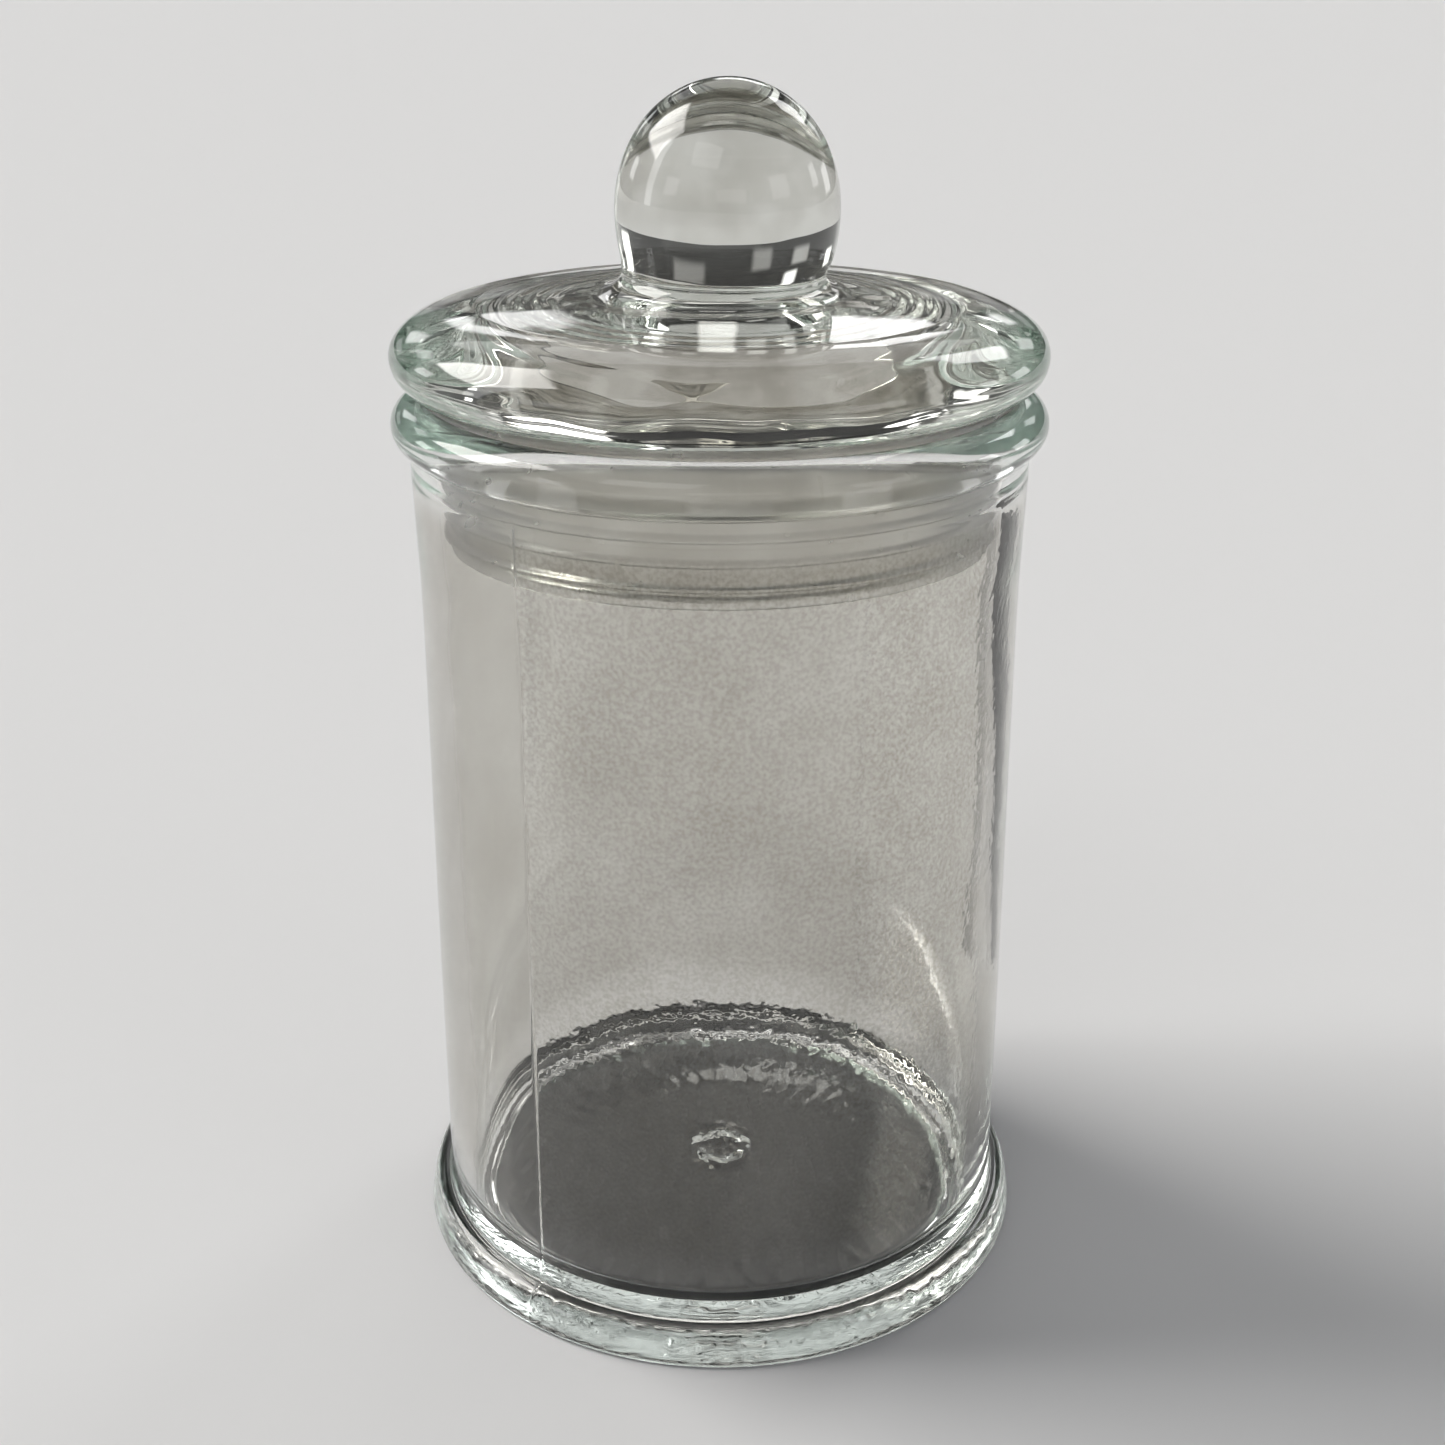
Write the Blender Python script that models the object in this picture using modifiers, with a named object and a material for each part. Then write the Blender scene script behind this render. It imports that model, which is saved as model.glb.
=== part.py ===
"""Lidded glass canister: a footed glass jar, a ball-knob lid and the ribbed ring that seals them.

Metres, +Z up. The origin is the middle of the foot, on the surface that the canister stands on.
Every piece is turned about the Z axis, along which the lid lifts and about which it turns.
"""

import math

import bpy

# Around each turned piece.
STEPS = 48
MERGE_DISTANCE = 0.00001

# The space left between pieces that touch.
FIT_GAP = 0.0003

# Jar: foot.
FOOT_RADIUS = 0.0400
FOOT_EDGE = 0.0004
FOOT_BAND_TOP = 0.0018
FOOT_BAND_DRAFT = 0.0003
FOOT_SHOULDER_RADIUS = 0.0376
FOOT_SHOULDER_TOP = 0.0046
FOOT_TOP = 0.0074
CONTACT_INNER_RADIUS = 0.0340
PUSH_UP_EDGE = 0.0016
PUSH_UP_HEIGHT = 0.0020

# Jar: wall, neck and rim.
WALL_FOOT_RADIUS = 0.0371
WALL_MIDDLE_RADIUS = 0.0367
WALL_MIDDLE_HEIGHT = 0.0500
WAIST_RADIUS = 0.0363
WAIST_HEIGHT = 0.0880
NECK_RADIUS = 0.0366
NECK_HEIGHT = 0.1026
BEAD_CENTRE_RADIUS = 0.0350
BEAD_CENTRE_HEIGHT = 0.1080
BEAD_WIDTH = 0.0036
BEAD_HEIGHT = 0.0030
MOUTH_RADIUS = 0.0336
MOUTH_LOWER_RADIUS = 0.0334
MOUTH_ROUNDING = 0.0014

# Jar: inside.
WALL_THICKNESS = 0.0031
FLOOR_HEIGHT = 0.0050
FLOOR_CROWN = 0.0004
FLOOR_FILLET = 0.0036

# Seal.
RIM_HEIGHT = BEAD_CENTRE_HEIGHT + BEAD_HEIGHT
SEAL_LIP_THICKNESS = 0.0005
SEAL_LIP_RADIUS = 0.0352
SEAL_LIP_BOTTOM = RIM_HEIGHT + FIT_GAP
SEAL_BOTTOM = 0.0945
SEAL_SLEEVE_THICKNESS = 0.0010
SEAL_FIN_COUNT = 4
SEAL_FIN_PITCH = 0.0027
SEAL_FIRST_FIN = 0.0970
SEAL_FIN_ROOT = 0.0005
SEAL_FIN_TIP = 0.00015
SEAL_FIN_RADIUS = 0.0331
SEAL_CHAMFER = 0.0004

# Lid: flange and top.
SEAT_HEIGHT = SEAL_LIP_BOTTOM + SEAL_LIP_THICKNESS + FIT_GAP
FLANGE_RADIUS = 0.0383
FLANGE_EQUATOR = 0.0036
FLANGE_LOWER_WIDTH = 0.0037
FLANGE_UPPER_WIDTH = 0.0099
FLANGE_UPPER_HEIGHT = 0.0055
NECK_FILLET_WIDTH = 0.0040
NECK_FILLET_HEIGHT = 0.0022

# Lid: knob, with heights above the seat.
KNOB_RADIUS = 0.0129
KNOB_NECK_RADIUS = 0.0118
KNOB_NECK_HEIGHT = 0.0124
KNOB_EQUATOR = 0.0194
KNOB_TOP = 0.0337

# Lid: hollow plug, with depths below the seat.
PLUG_RADIUS = 0.0310
PLUG_WALL = 0.0030
PLUG_DEPTH = 0.0172
PLUG_EDGE = 0.0008
RECESS_CEILING = 0.0041
RECESS_CEILING_RADIUS = 0.0235
RECESS_CORNER_DEPTH = 0.0010
RECESS_CROWN = 0.0004


def arc(centre, radii, start, end, count):
    """Points on a quarter of an ellipse or less, from the start angle to the end angle in degrees."""
    points = []
    for i in range(count):
        angle = math.radians(start + (end - start) * i / (count - 1))
        r = centre[0] + radii[0] * math.cos(angle)
        z = centre[1] + radii[1] * math.sin(angle)
        points.append((r, z))
    return points


def glass_material(name, colour):
    """Clear pressed glass."""
    material = bpy.data.materials.new(name)
    material.use_nodes = True
    shader = material.node_tree.nodes["Principled BSDF"]
    shader.inputs["Base Color"].default_value = (*colour, 1.0)
    shader.inputs["Roughness"].default_value = 0.03
    shader.inputs["Metallic"].default_value = 0.0
    shader.inputs["IOR"].default_value = 1.52
    shader.inputs["Transmission Weight"].default_value = 1.0
    return material


def seal_material(name, colour):
    """Milky, translucent silicone."""
    material = bpy.data.materials.new(name)
    material.use_nodes = True
    shader = material.node_tree.nodes["Principled BSDF"]
    shader.inputs["Base Color"].default_value = (*colour, 1.0)
    shader.inputs["Roughness"].default_value = 0.45
    shader.inputs["Metallic"].default_value = 0.0
    shader.inputs["IOR"].default_value = 1.41
    shader.inputs["Transmission Weight"].default_value = 0.4
    return material


def turned(name, profile, closed, material, collection):
    """A profile of (radius, height) points at +X, turned once about Z. The outer side runs downwards."""
    edges = [(i, i + 1) for i in range(len(profile) - 1)]
    if closed:
        edges.append((len(profile) - 1, 0))
    mesh = bpy.data.meshes.new(name)
    mesh.from_pydata([(r, 0.0, z) for r, z in profile], edges, [])
    mesh.materials.append(material)
    piece = bpy.data.objects.new(name, mesh)
    collection.objects.link(piece)
    screw = piece.modifiers.new("turn", "SCREW")
    screw.axis = "Z"
    screw.angle = math.tau
    screw.steps = STEPS
    screw.render_steps = STEPS
    screw.use_merge_vertices = True
    screw.merge_threshold = MERGE_DISTANCE
    screw.use_smooth_shade = True
    return piece


def jar_inside():
    """From the middle of the floor, up the inner wall, to the mouth."""
    wall_foot = WALL_FOOT_RADIUS - WALL_THICKNESS
    fillet_centre = (wall_foot - FLOOR_FILLET, FLOOR_HEIGHT + FLOOR_FILLET)
    points = [(0.0, FLOOR_HEIGHT + FLOOR_CROWN)]
    points += [(fillet_centre[0] / 2, FLOOR_HEIGHT + FLOOR_CROWN * 0.75)]
    points += arc(fillet_centre, (FLOOR_FILLET, FLOOR_FILLET), -90, 0, 6)
    points += [(WALL_MIDDLE_RADIUS - WALL_THICKNESS, WALL_MIDDLE_HEIGHT)]
    points += [(WAIST_RADIUS - WALL_THICKNESS, WAIST_HEIGHT)]
    points += [(MOUTH_LOWER_RADIUS, SEAL_BOTTOM)]
    return points


def jar_rim():
    """From the mouth, over the rim and round the bead, to the neck."""
    mouth_centre = (MOUTH_RADIUS + MOUTH_ROUNDING, RIM_HEIGHT - MOUTH_ROUNDING)
    bead_centre = (BEAD_CENTRE_RADIUS, BEAD_CENTRE_HEIGHT)
    neck_angle = -math.degrees(math.acos((NECK_RADIUS - BEAD_CENTRE_RADIUS) / BEAD_WIDTH))
    points = arc(mouth_centre, (MOUTH_ROUNDING, MOUTH_ROUNDING), 180, 90, 4)[:-1]
    points += arc(bead_centre, (BEAD_WIDTH, BEAD_HEIGHT), 90, neck_angle, 9)
    return points


def jar_outside():
    """From the neck, down the wall, over the foot and to the edge of the push-up."""
    band_top_radius = FOOT_RADIUS - FOOT_BAND_DRAFT
    shoulder_width = band_top_radius - FOOT_SHOULDER_RADIUS
    hollow_width = FOOT_SHOULDER_RADIUS - WALL_FOOT_RADIUS
    points = [(NECK_RADIUS, NECK_HEIGHT)]
    points += [(WAIST_RADIUS, WAIST_HEIGHT)]
    points += [(WALL_MIDDLE_RADIUS, WALL_MIDDLE_HEIGHT)]
    points += arc(
        (FOOT_SHOULDER_RADIUS, FOOT_TOP), (hollow_width, FOOT_TOP - FOOT_SHOULDER_TOP), 180, 270, 4
    )
    points += arc(
        (FOOT_SHOULDER_RADIUS, FOOT_BAND_TOP),
        (shoulder_width, FOOT_SHOULDER_TOP - FOOT_BAND_TOP),
        90,
        0,
        5,
    )[1:]
    points += arc((FOOT_RADIUS - FOOT_EDGE, FOOT_EDGE), (FOOT_EDGE, FOOT_EDGE), 0, -90, 4)
    return points


def jar_underside():
    """From the flat ring that the jar stands on to the middle of the push-up."""
    points = [(CONTACT_INNER_RADIUS, 0.0)]
    points += [(CONTACT_INNER_RADIUS - PUSH_UP_EDGE, PUSH_UP_EDGE / 2)]
    points += [(CONTACT_INNER_RADIUS - 2 * PUSH_UP_EDGE, PUSH_UP_HEIGHT / 2)]
    points += [(CONTACT_INNER_RADIUS / 2, PUSH_UP_HEIGHT * 0.9)]
    points += [(0.0, PUSH_UP_HEIGHT)]
    return points


def jar_profile():
    return jar_inside() + jar_rim() + jar_outside() + jar_underside()


def knob_profile():
    """From the top of the knob down to its neck."""
    cosine = KNOB_NECK_RADIUS / KNOB_RADIUS
    lower_height = (KNOB_EQUATOR - KNOB_NECK_HEIGHT) / math.sqrt(1 - cosine * cosine)
    neck_angle = -math.degrees(math.acos(cosine))
    centre = (0.0, KNOB_EQUATOR)
    points = arc(centre, (KNOB_RADIUS, KNOB_TOP - KNOB_EQUATOR), 90, 0, 10)
    points += arc(centre, (KNOB_RADIUS, lower_height), 0, neck_angle, 3)[1:]
    return points


def lid_top_profile():
    """From the knob's neck, across the top and round the flange, to the flange's underside."""
    fillet_centre = (KNOB_NECK_RADIUS + NECK_FILLET_WIDTH, KNOB_NECK_HEIGHT)
    upper_centre = (FLANGE_RADIUS - FLANGE_UPPER_WIDTH, FLANGE_EQUATOR)
    lower_centre = (FLANGE_RADIUS - FLANGE_LOWER_WIDTH, FLANGE_EQUATOR)
    points = arc(fillet_centre, (NECK_FILLET_WIDTH, NECK_FILLET_HEIGHT), 180, 270, 5)[1:]
    points += arc(upper_centre, (FLANGE_UPPER_WIDTH, FLANGE_UPPER_HEIGHT), 90, 0, 9)
    points += arc(lower_centre, (FLANGE_LOWER_WIDTH, FLANGE_EQUATOR), 0, -90, 6)[1:]
    return points


def plug_profile():
    """From the plug's root, round its lower edge and up its inside, to the middle of the ceiling."""
    inner_radius = PLUG_RADIUS - PLUG_WALL
    edge = (PLUG_EDGE, PLUG_EDGE)
    points = [(PLUG_RADIUS, 0.0)]
    points += arc((PLUG_RADIUS - PLUG_EDGE, PLUG_EDGE - PLUG_DEPTH), edge, 0, -90, 3)
    points += arc((inner_radius + PLUG_EDGE, PLUG_EDGE - PLUG_DEPTH), edge, -90, -180, 3)
    corner = (RECESS_CEILING_RADIUS, -RECESS_CORNER_DEPTH)
    radii = (inner_radius - RECESS_CEILING_RADIUS, RECESS_CEILING + RECESS_CORNER_DEPTH)
    points += arc(corner, radii, 0, 90, 5)
    points += [(RECESS_CEILING_RADIUS / 2, RECESS_CEILING + RECESS_CROWN * 0.75)]
    points += [(0.0, RECESS_CEILING + RECESS_CROWN)]
    return points


def lid_profile():
    """Heights are above the seat, where the flange's underside is flat."""
    return knob_profile() + lid_top_profile() + plug_profile()


def seal_profile():
    """A sleeve round the plug with a lip under the flange and fins that wipe the mouth."""
    inner = PLUG_RADIUS + FIT_GAP
    outer = inner + SEAL_SLEEVE_THICKNESS
    lip_top = SEAL_LIP_BOTTOM + SEAL_LIP_THICKNESS
    points = [(inner, lip_top)]
    points += [(SEAL_LIP_RADIUS, lip_top)]
    points += [(SEAL_LIP_RADIUS, SEAL_LIP_BOTTOM)]
    points += [(outer + SEAL_CHAMFER, SEAL_LIP_BOTTOM)]
    points += [(outer, SEAL_LIP_BOTTOM - SEAL_CHAMFER)]
    for i in reversed(range(SEAL_FIN_COUNT)):
        height = SEAL_FIRST_FIN + i * SEAL_FIN_PITCH
        points += [(outer, height + SEAL_FIN_ROOT)]
        points += [(SEAL_FIN_RADIUS, height + SEAL_FIN_TIP)]
        points += [(SEAL_FIN_RADIUS, height - SEAL_FIN_TIP)]
        points += [(outer, height - SEAL_FIN_ROOT)]
    points += [(outer, SEAL_BOTTOM + SEAL_CHAMFER)]
    points += [(outer - SEAL_CHAMFER, SEAL_BOTTOM)]
    points += [(inner, SEAL_BOTTOM)]
    return points


def build_jar(collection):
    material = glass_material("jar_glass", (0.93, 0.96, 0.94))
    return turned("jar", jar_profile(), False, material, collection)


def build_seal(collection):
    material = seal_material("seal_silicone", (0.74, 0.75, 0.72))
    return turned("seal", seal_profile(), True, material, collection)


def build_lid(collection):
    """The lid's origin is on the turning axis, at the height of its seat."""
    material = glass_material("lid_glass", (0.92, 0.96, 0.94))
    lid = turned("lid", lid_profile(), False, material, collection)
    lid.location = (0.0, 0.0, SEAT_HEIGHT)
    return lid


def main():
    for old in list(bpy.data.objects):
        bpy.data.objects.remove(old, do_unlink=True)
    collection = bpy.data.collections.new("lidded_glass_canister")
    bpy.context.scene.collection.children.link(collection)
    jar = build_jar(collection)
    seal = build_seal(collection)
    lid = build_lid(collection)
    seal.parent = jar
    lid.parent = seal


main()
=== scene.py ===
"""Lidded glass canister: fine meshes, glass and silicone, and the studio round them.

Metres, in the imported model's frame: +Z up, and the origin is the middle of the foot.
The outlines are drawn in millimetres. The camera looks along +Y, so +X is to its right.
"""

import math

import bpy
import numpy as np
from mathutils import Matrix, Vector


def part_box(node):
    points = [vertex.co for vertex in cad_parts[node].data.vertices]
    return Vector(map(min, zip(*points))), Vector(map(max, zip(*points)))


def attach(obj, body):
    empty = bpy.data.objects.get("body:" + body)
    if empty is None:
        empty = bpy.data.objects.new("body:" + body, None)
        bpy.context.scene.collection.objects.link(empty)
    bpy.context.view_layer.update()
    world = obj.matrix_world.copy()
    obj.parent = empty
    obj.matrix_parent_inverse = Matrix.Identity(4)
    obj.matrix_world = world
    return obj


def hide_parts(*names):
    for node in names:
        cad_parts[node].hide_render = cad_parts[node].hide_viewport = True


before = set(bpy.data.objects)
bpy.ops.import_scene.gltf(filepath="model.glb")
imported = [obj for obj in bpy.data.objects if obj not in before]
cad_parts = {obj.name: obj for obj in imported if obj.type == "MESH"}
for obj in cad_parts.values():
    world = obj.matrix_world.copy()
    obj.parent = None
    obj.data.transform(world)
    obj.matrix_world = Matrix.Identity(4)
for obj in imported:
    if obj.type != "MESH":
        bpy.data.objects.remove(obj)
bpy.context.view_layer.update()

MM = 0.001

# The pieces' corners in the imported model.
JAR_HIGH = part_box("jar")[1]
LID_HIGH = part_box("lid")[1]
SEAL_LOW, SEAL_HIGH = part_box("seal")
FIT_GAP = 0.3 * MM
SEAT_HEIGHT = SEAL_HIGH[2] + FIT_GAP

# The jar, in millimetres.
FOOT_RADIUS = round(JAR_HIGH[0] / MM, 3)
FOOT_EDGE = 0.4
FOOT_BAND_TOP = 1.8
FOOT_BAND_DRAFT = 0.3
FOOT_SHOULDER_RADIUS = 37.6
FOOT_SHOULDER_HEIGHT = 2.8
FOOT_TOP = FOOT_BAND_TOP + 2 * FOOT_SHOULDER_HEIGHT
CONTACT_INNER_RADIUS = 34.0
PUSH_UP_HEIGHT = 2.0
WALL_FOOT_RADIUS = 37.1
WALL_THICKNESS = 3.1
FLOOR_HEIGHT = 5.0
FLOOR_CROWN = 0.4
FLOOR_FILLET = 3.6
NECK_RADIUS = 36.6
NECK_HEIGHT = 102.6
WAIST_RADIUS = 36.3
WAIST_HEIGHT = 88.0
MOUTH_RADIUS = 33.6
MOUTH_ROUNDING = 1.4
BEAD_WIDTH = 3.6
BEAD_HEIGHT = 3.0
BEAD_CENTRE = (35.0, round(JAR_HIGH[2] / MM, 3) - BEAD_HEIGHT)
BEAD_END = -63.6

# The lid, in millimetres, with its heights above the seat.
KNOB_RADIUS = 12.9
KNOB_EQUATOR = 19.4
KNOB_TOP = round((LID_HIGH[2] - SEAT_HEIGHT) / MM, 3)
KNOB_LOWER_REACH = 17.33
KNOB_NECK_ANGLE = -23.84
KNOB_NECK_RADIUS = 11.8
KNOB_NECK_HEIGHT = 12.4
KNOB_LEAN = 0.9
FILLET_WIDTH = 4.0
FILLET_HEIGHT = 2.2
FLANGE_RADIUS = round(LID_HIGH[0] / MM, 3)
FLANGE_EQUATOR = 3.6
FLANGE_UPPER_WIDTH = 9.9
FLANGE_UPPER_HEIGHT = 5.5
FLANGE_LOWER_WIDTH = 3.7
PLUG_RADIUS = 31.0
PLUG_WALL = 3.0
PLUG_DEPTH = 17.2
PLUG_EDGE = 0.8
PLUG_CORNER = 0.4
RECESS_CEILING = 4.1
RECESS_CEILING_RADIUS = 23.5
RECESS_CORNER_DEPTH = 1.0
RECESS_CROWN = 0.4

# The seal, in millimetres.
SEAL_BOTTOM = round(SEAL_LOW[2] / MM, 3)
SEAL_TOP = round(SEAL_HIGH[2] / MM, 3)
SEAL_LIP_RADIUS = round(SEAL_HIGH[0] / MM, 3)
SEAL_LIP_THICKNESS = 0.5
SEAL_BORE = PLUG_RADIUS + 0.3
SEAL_SLEEVE_RADIUS = SEAL_BORE + 1.0
SEAL_CHAMFER = 0.4
SEAL_SLEEVE_TOP = round(SEAL_TOP - SEAL_LIP_THICKNESS - SEAL_CHAMFER, 3)
SEAL_ROUNDING = 0.2
SEAL_SPACING = 0.35
FIN_RADIUS = 33.1
FIN_PITCH = 2.7
FIN_HEIGHTS = [105.1 - k * FIN_PITCH for k in range(4)]
FIN_ROOT = 0.5
FIN_TIP = 0.15

# Index of refraction of glass, strength of its absorption per metre and the colour that it lets through.
GLASS_IOR = 1.52
GLASS_DENSITY = 1.9
GLASS_GREEN = (0.25, 0.75, 0.50)

# Fineness of the turned meshes: columns round the axis, and millimetres along an outline.
AROUND = 480
WALL_SPACING = 0.5
EDGE_SPACING = 0.22

# Uneven surfaces, as waves of a height and a length in millimetres, and a seed.
WALL_PEEL = ((0.0015, 3.2, 1), (0.0018, 1.7, 2))
WALL_SWAY = ((0.022, 30, 3), (0.004, 12, 4))
LID_SWAY = ((0.02, 16, 11), (0.006, 6, 12))
RECESS_SWAY = ((0.05, 14, 13), (0.014, 6, 14))

# Rings that the mould's turning left in the lid's recess, in millimetres.
RING_PITCH = 1.9
RING_HEIGHT = 0.07

# Where the mould's two halves met, from +X, anticlockwise. The other seam is opposite.
SEAM_ANGLE = math.radians(-126.7)
SEAM_REACH = math.radians(1.8)
SEAM_COLUMNS = 31
SEAM_HEIGHT = 0.09 * MM
SEAM_WIDTH = 0.20 * MM

# The groove at the neck, the pebbles where the jar stands, and the marks on its bottom.
GROOVE_DEPTH = 0.14 * MM
GROOVE_WIDTH = 0.30 * MM
PEBBLE_HEIGHT = 0.022 * MM
STREAK_HEIGHT = 0.014 * MM
STREAK_COUNT = 46
MARK_RADIUS = 3.2 * MM
MARK_WIDTH = 1.0 * MM
MARK_DEPTH_BELOW = 0.42 * MM
MARK_HEIGHT_ABOVE = 0.38 * MM

# Height of the jar's granular skin in the material, and the tints that each glass passes: painted shade that
# darkens the clear glass as dark surroundings seen through it would.
GRAIN_HEIGHT = 0.011 * MM
JAR_SHADE_TINTS = ((0.24, 0.20, 0.13), (1.0, 0.998, 0.985))
LID_SHADE_TINTS = ((0.62, 0.60, 0.56), (0.84, 0.83, 0.80))


# ---------------------------------------------------------------- outlines


def arc(centre, radii, start, end, spacing=EDGE_SPACING):
    """Points on an ellipse's arc, from the start angle to the end angle in degrees."""
    sweep = math.radians(abs(end - start))
    count = max(4, math.ceil(sweep * max(radii) / spacing) + 1)
    angles = np.radians(np.linspace(start, end, count))
    return np.c_[centre[0] + radii[0] * np.cos(angles), centre[1] + radii[1] * np.sin(angles)]


def smooth(points, spacing=WALL_SPACING):
    """A smooth curve through a few points, as a centripetal Catmull-Rom spline."""
    p = np.asarray(points, float)
    p = np.vstack([2 * p[0] - p[1], p, 2 * p[-1] - p[-2]])
    out = []
    for a, b, c, d in zip(p, p[1:], p[2:], p[3:]):
        knots = np.cumsum([0] + [np.linalg.norm(y - x) ** 0.5 for x, y in ((a, b), (b, c), (c, d))])
        count = max(2, math.ceil(np.linalg.norm(c - b) / spacing))
        for t in np.linspace(knots[1], knots[2], count, endpoint=False):
            first = [
                (x * (t1 - t) + y * (t - t0)) / (t1 - t0)
                for x, y, t0, t1 in zip((a, b, c), (b, c, d), knots, knots[1:])
            ]
            second = [
                (x * (t2 - t) + y * (t - t0)) / (t2 - t0)
                for x, y, t0, t2 in zip(first, first[1:], knots, knots[2:])
            ]
            share = (t - knots[1]) / (knots[2] - knots[1])
            out.append(second[0] * (1 - share) + second[1] * share)
    out.append(p[-2])
    return np.array(out)


def joined(*runs):
    """One outline from several runs, without the points that two runs share."""
    points = np.vstack(runs)
    step = np.linalg.norm(np.diff(points, axis=0), axis=1)
    return points[np.r_[True, step > 0.02]]


def jar_outline():
    """From the middle of the inner floor, up, over the rim, down and under the foot."""
    bore = WALL_FOOT_RADIUS - WALL_THICKNESS
    corner = (bore - FLOOR_FILLET, FLOOR_HEIGHT + FLOOR_FILLET)
    mouth_height = BEAD_CENTRE[1] + BEAD_HEIGHT - MOUTH_ROUNDING
    floor = [(0, FLOOR_HEIGHT + FLOOR_CROWN), (8, 5.36), (20, 5.15), (corner[0], FLOOR_HEIGHT)]
    inner_wall = [(bore, corner[1]), (33.85, 28), (33.6, 50), (33.35, 72)]
    inner_wall += [(WAIST_RADIUS - WALL_THICKNESS, WAIST_HEIGHT), (33.4, 94.5), (33.55, 102)]
    inner_wall += [(MOUTH_RADIUS, mouth_height)]
    inside = joined(
        smooth(floor),
        arc(corner, (FLOOR_FILLET, FLOOR_FILLET), -90, 0, 0.25),
        smooth(inner_wall),
    )
    lip_centre = (MOUTH_RADIUS + MOUTH_ROUNDING, mouth_height)
    rim = joined(
        arc(lip_centre, (MOUTH_ROUNDING, MOUTH_ROUNDING), 180, 90, 0.2),
        arc(BEAD_CENTRE, (BEAD_WIDTH, BEAD_HEIGHT), 90, BEAD_END, 0.2),
    )
    outer_wall = [(NECK_RADIUS, 105.3), (36.58, 104.2), (NECK_RADIUS, NECK_HEIGHT), (36.48, 97)]
    outer_wall += [(WAIST_RADIUS, WAIST_HEIGHT), (36.45, 70), (36.7, 50), (36.93, 28)]
    outer_wall += [(WALL_FOOT_RADIUS, FOOT_TOP)]
    band_radius = FOOT_RADIUS - FOOT_BAND_DRAFT
    cove_width = FOOT_SHOULDER_RADIUS - WALL_FOOT_RADIUS
    shoulder_width = band_radius - FOOT_SHOULDER_RADIUS
    edge_radius = FOOT_RADIUS - FOOT_EDGE
    outside = joined(
        smooth(outer_wall),
        arc((FOOT_SHOULDER_RADIUS, FOOT_TOP), (cove_width, FOOT_SHOULDER_HEIGHT), 180, 270, 0.2),
        arc((FOOT_SHOULDER_RADIUS, FOOT_BAND_TOP), (shoulder_width, FOOT_SHOULDER_HEIGHT), 90, 0, 0.2),
        smooth([(band_radius, FOOT_BAND_TOP), (FOOT_RADIUS, FOOT_EDGE)], 0.25),
        arc((edge_radius, FOOT_EDGE), (FOOT_EDGE, FOOT_EDGE), 0, -90, 0.12),
    )
    push_up = [(CONTACT_INNER_RADIUS, 0), (33.4, 0.2), (32.4, 0.75), (30.8, 1.1)]
    push_up += [(24, 1.5), (17, 1.8), (8, 1.97), (0, PUSH_UP_HEIGHT)]
    underside = joined(
        smooth([(edge_radius, 0), (CONTACT_INNER_RADIUS, 0)], 0.25),
        smooth(push_up, 0.3),
    )
    return joined(inside, rim, outside, underside) * MM


def lid_outline():
    """From the top of the knob to the middle of the recess's ceiling."""
    knob = joined(
        arc((0, KNOB_EQUATOR), (KNOB_RADIUS, KNOB_TOP - KNOB_EQUATOR), 90, 0, 0.25),
        arc((0, KNOB_EQUATOR), (KNOB_RADIUS, KNOB_LOWER_REACH), 0, KNOB_NECK_ANGLE, 0.25),
    )
    fillet = (KNOB_NECK_RADIUS + FILLET_WIDTH, KNOB_NECK_HEIGHT)
    upper = (FLANGE_RADIUS - FLANGE_UPPER_WIDTH, FLANGE_EQUATOR)
    lower = (FLANGE_RADIUS - FLANGE_LOWER_WIDTH, FLANGE_EQUATOR)
    slope = [(fillet[0], fillet[1] - FILLET_HEIGHT), (19, 10.12), (22.5, 9.85), (25.5, 9.5)]
    slope += [(upper[0], FLANGE_EQUATOR + FLANGE_UPPER_HEIGHT)]
    corner = (PLUG_RADIUS + PLUG_CORNER, -PLUG_CORNER)
    top = joined(
        arc(fillet, (FILLET_WIDTH, FILLET_HEIGHT), 180, 270, 0.15),
        smooth(slope, 0.3),
        arc(upper, (FLANGE_UPPER_WIDTH, FLANGE_UPPER_HEIGHT), 90, 0, 0.25),
        arc(lower, (FLANGE_LOWER_WIDTH, FLANGE_EQUATOR), 0, -90, 0.2),
        smooth([(lower[0], 0), (corner[0], 0)], 0.3),
        arc(corner, (PLUG_CORNER, PLUG_CORNER), 90, 180, 0.15),
    )
    edge = (PLUG_EDGE, PLUG_EDGE)
    edge_height = PLUG_EDGE - PLUG_DEPTH
    bore = PLUG_RADIUS - PLUG_WALL
    shoulder = (bore - RECESS_CEILING_RADIUS, RECESS_CEILING + RECESS_CORNER_DEPTH)
    ceiling = [(RECESS_CEILING_RADIUS, RECESS_CEILING), (12, 4.4), (0, RECESS_CEILING + RECESS_CROWN)]
    plug = joined(
        smooth([(PLUG_RADIUS, corner[1]), (PLUG_RADIUS, edge_height)], 0.4),
        arc((PLUG_RADIUS - PLUG_EDGE, edge_height), edge, 0, -90, 0.15),
        arc((bore + PLUG_EDGE, edge_height), edge, -90, -180, 0.15),
        smooth([(bore, edge_height), (bore, -RECESS_CORNER_DEPTH)], 0.4),
        arc((RECESS_CEILING_RADIUS, -RECESS_CORNER_DEPTH), shoulder, 0, 90, 0.2),
        smooth(ceiling, 0.3),
    )
    return joined(knob, top, plug) * MM


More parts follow.
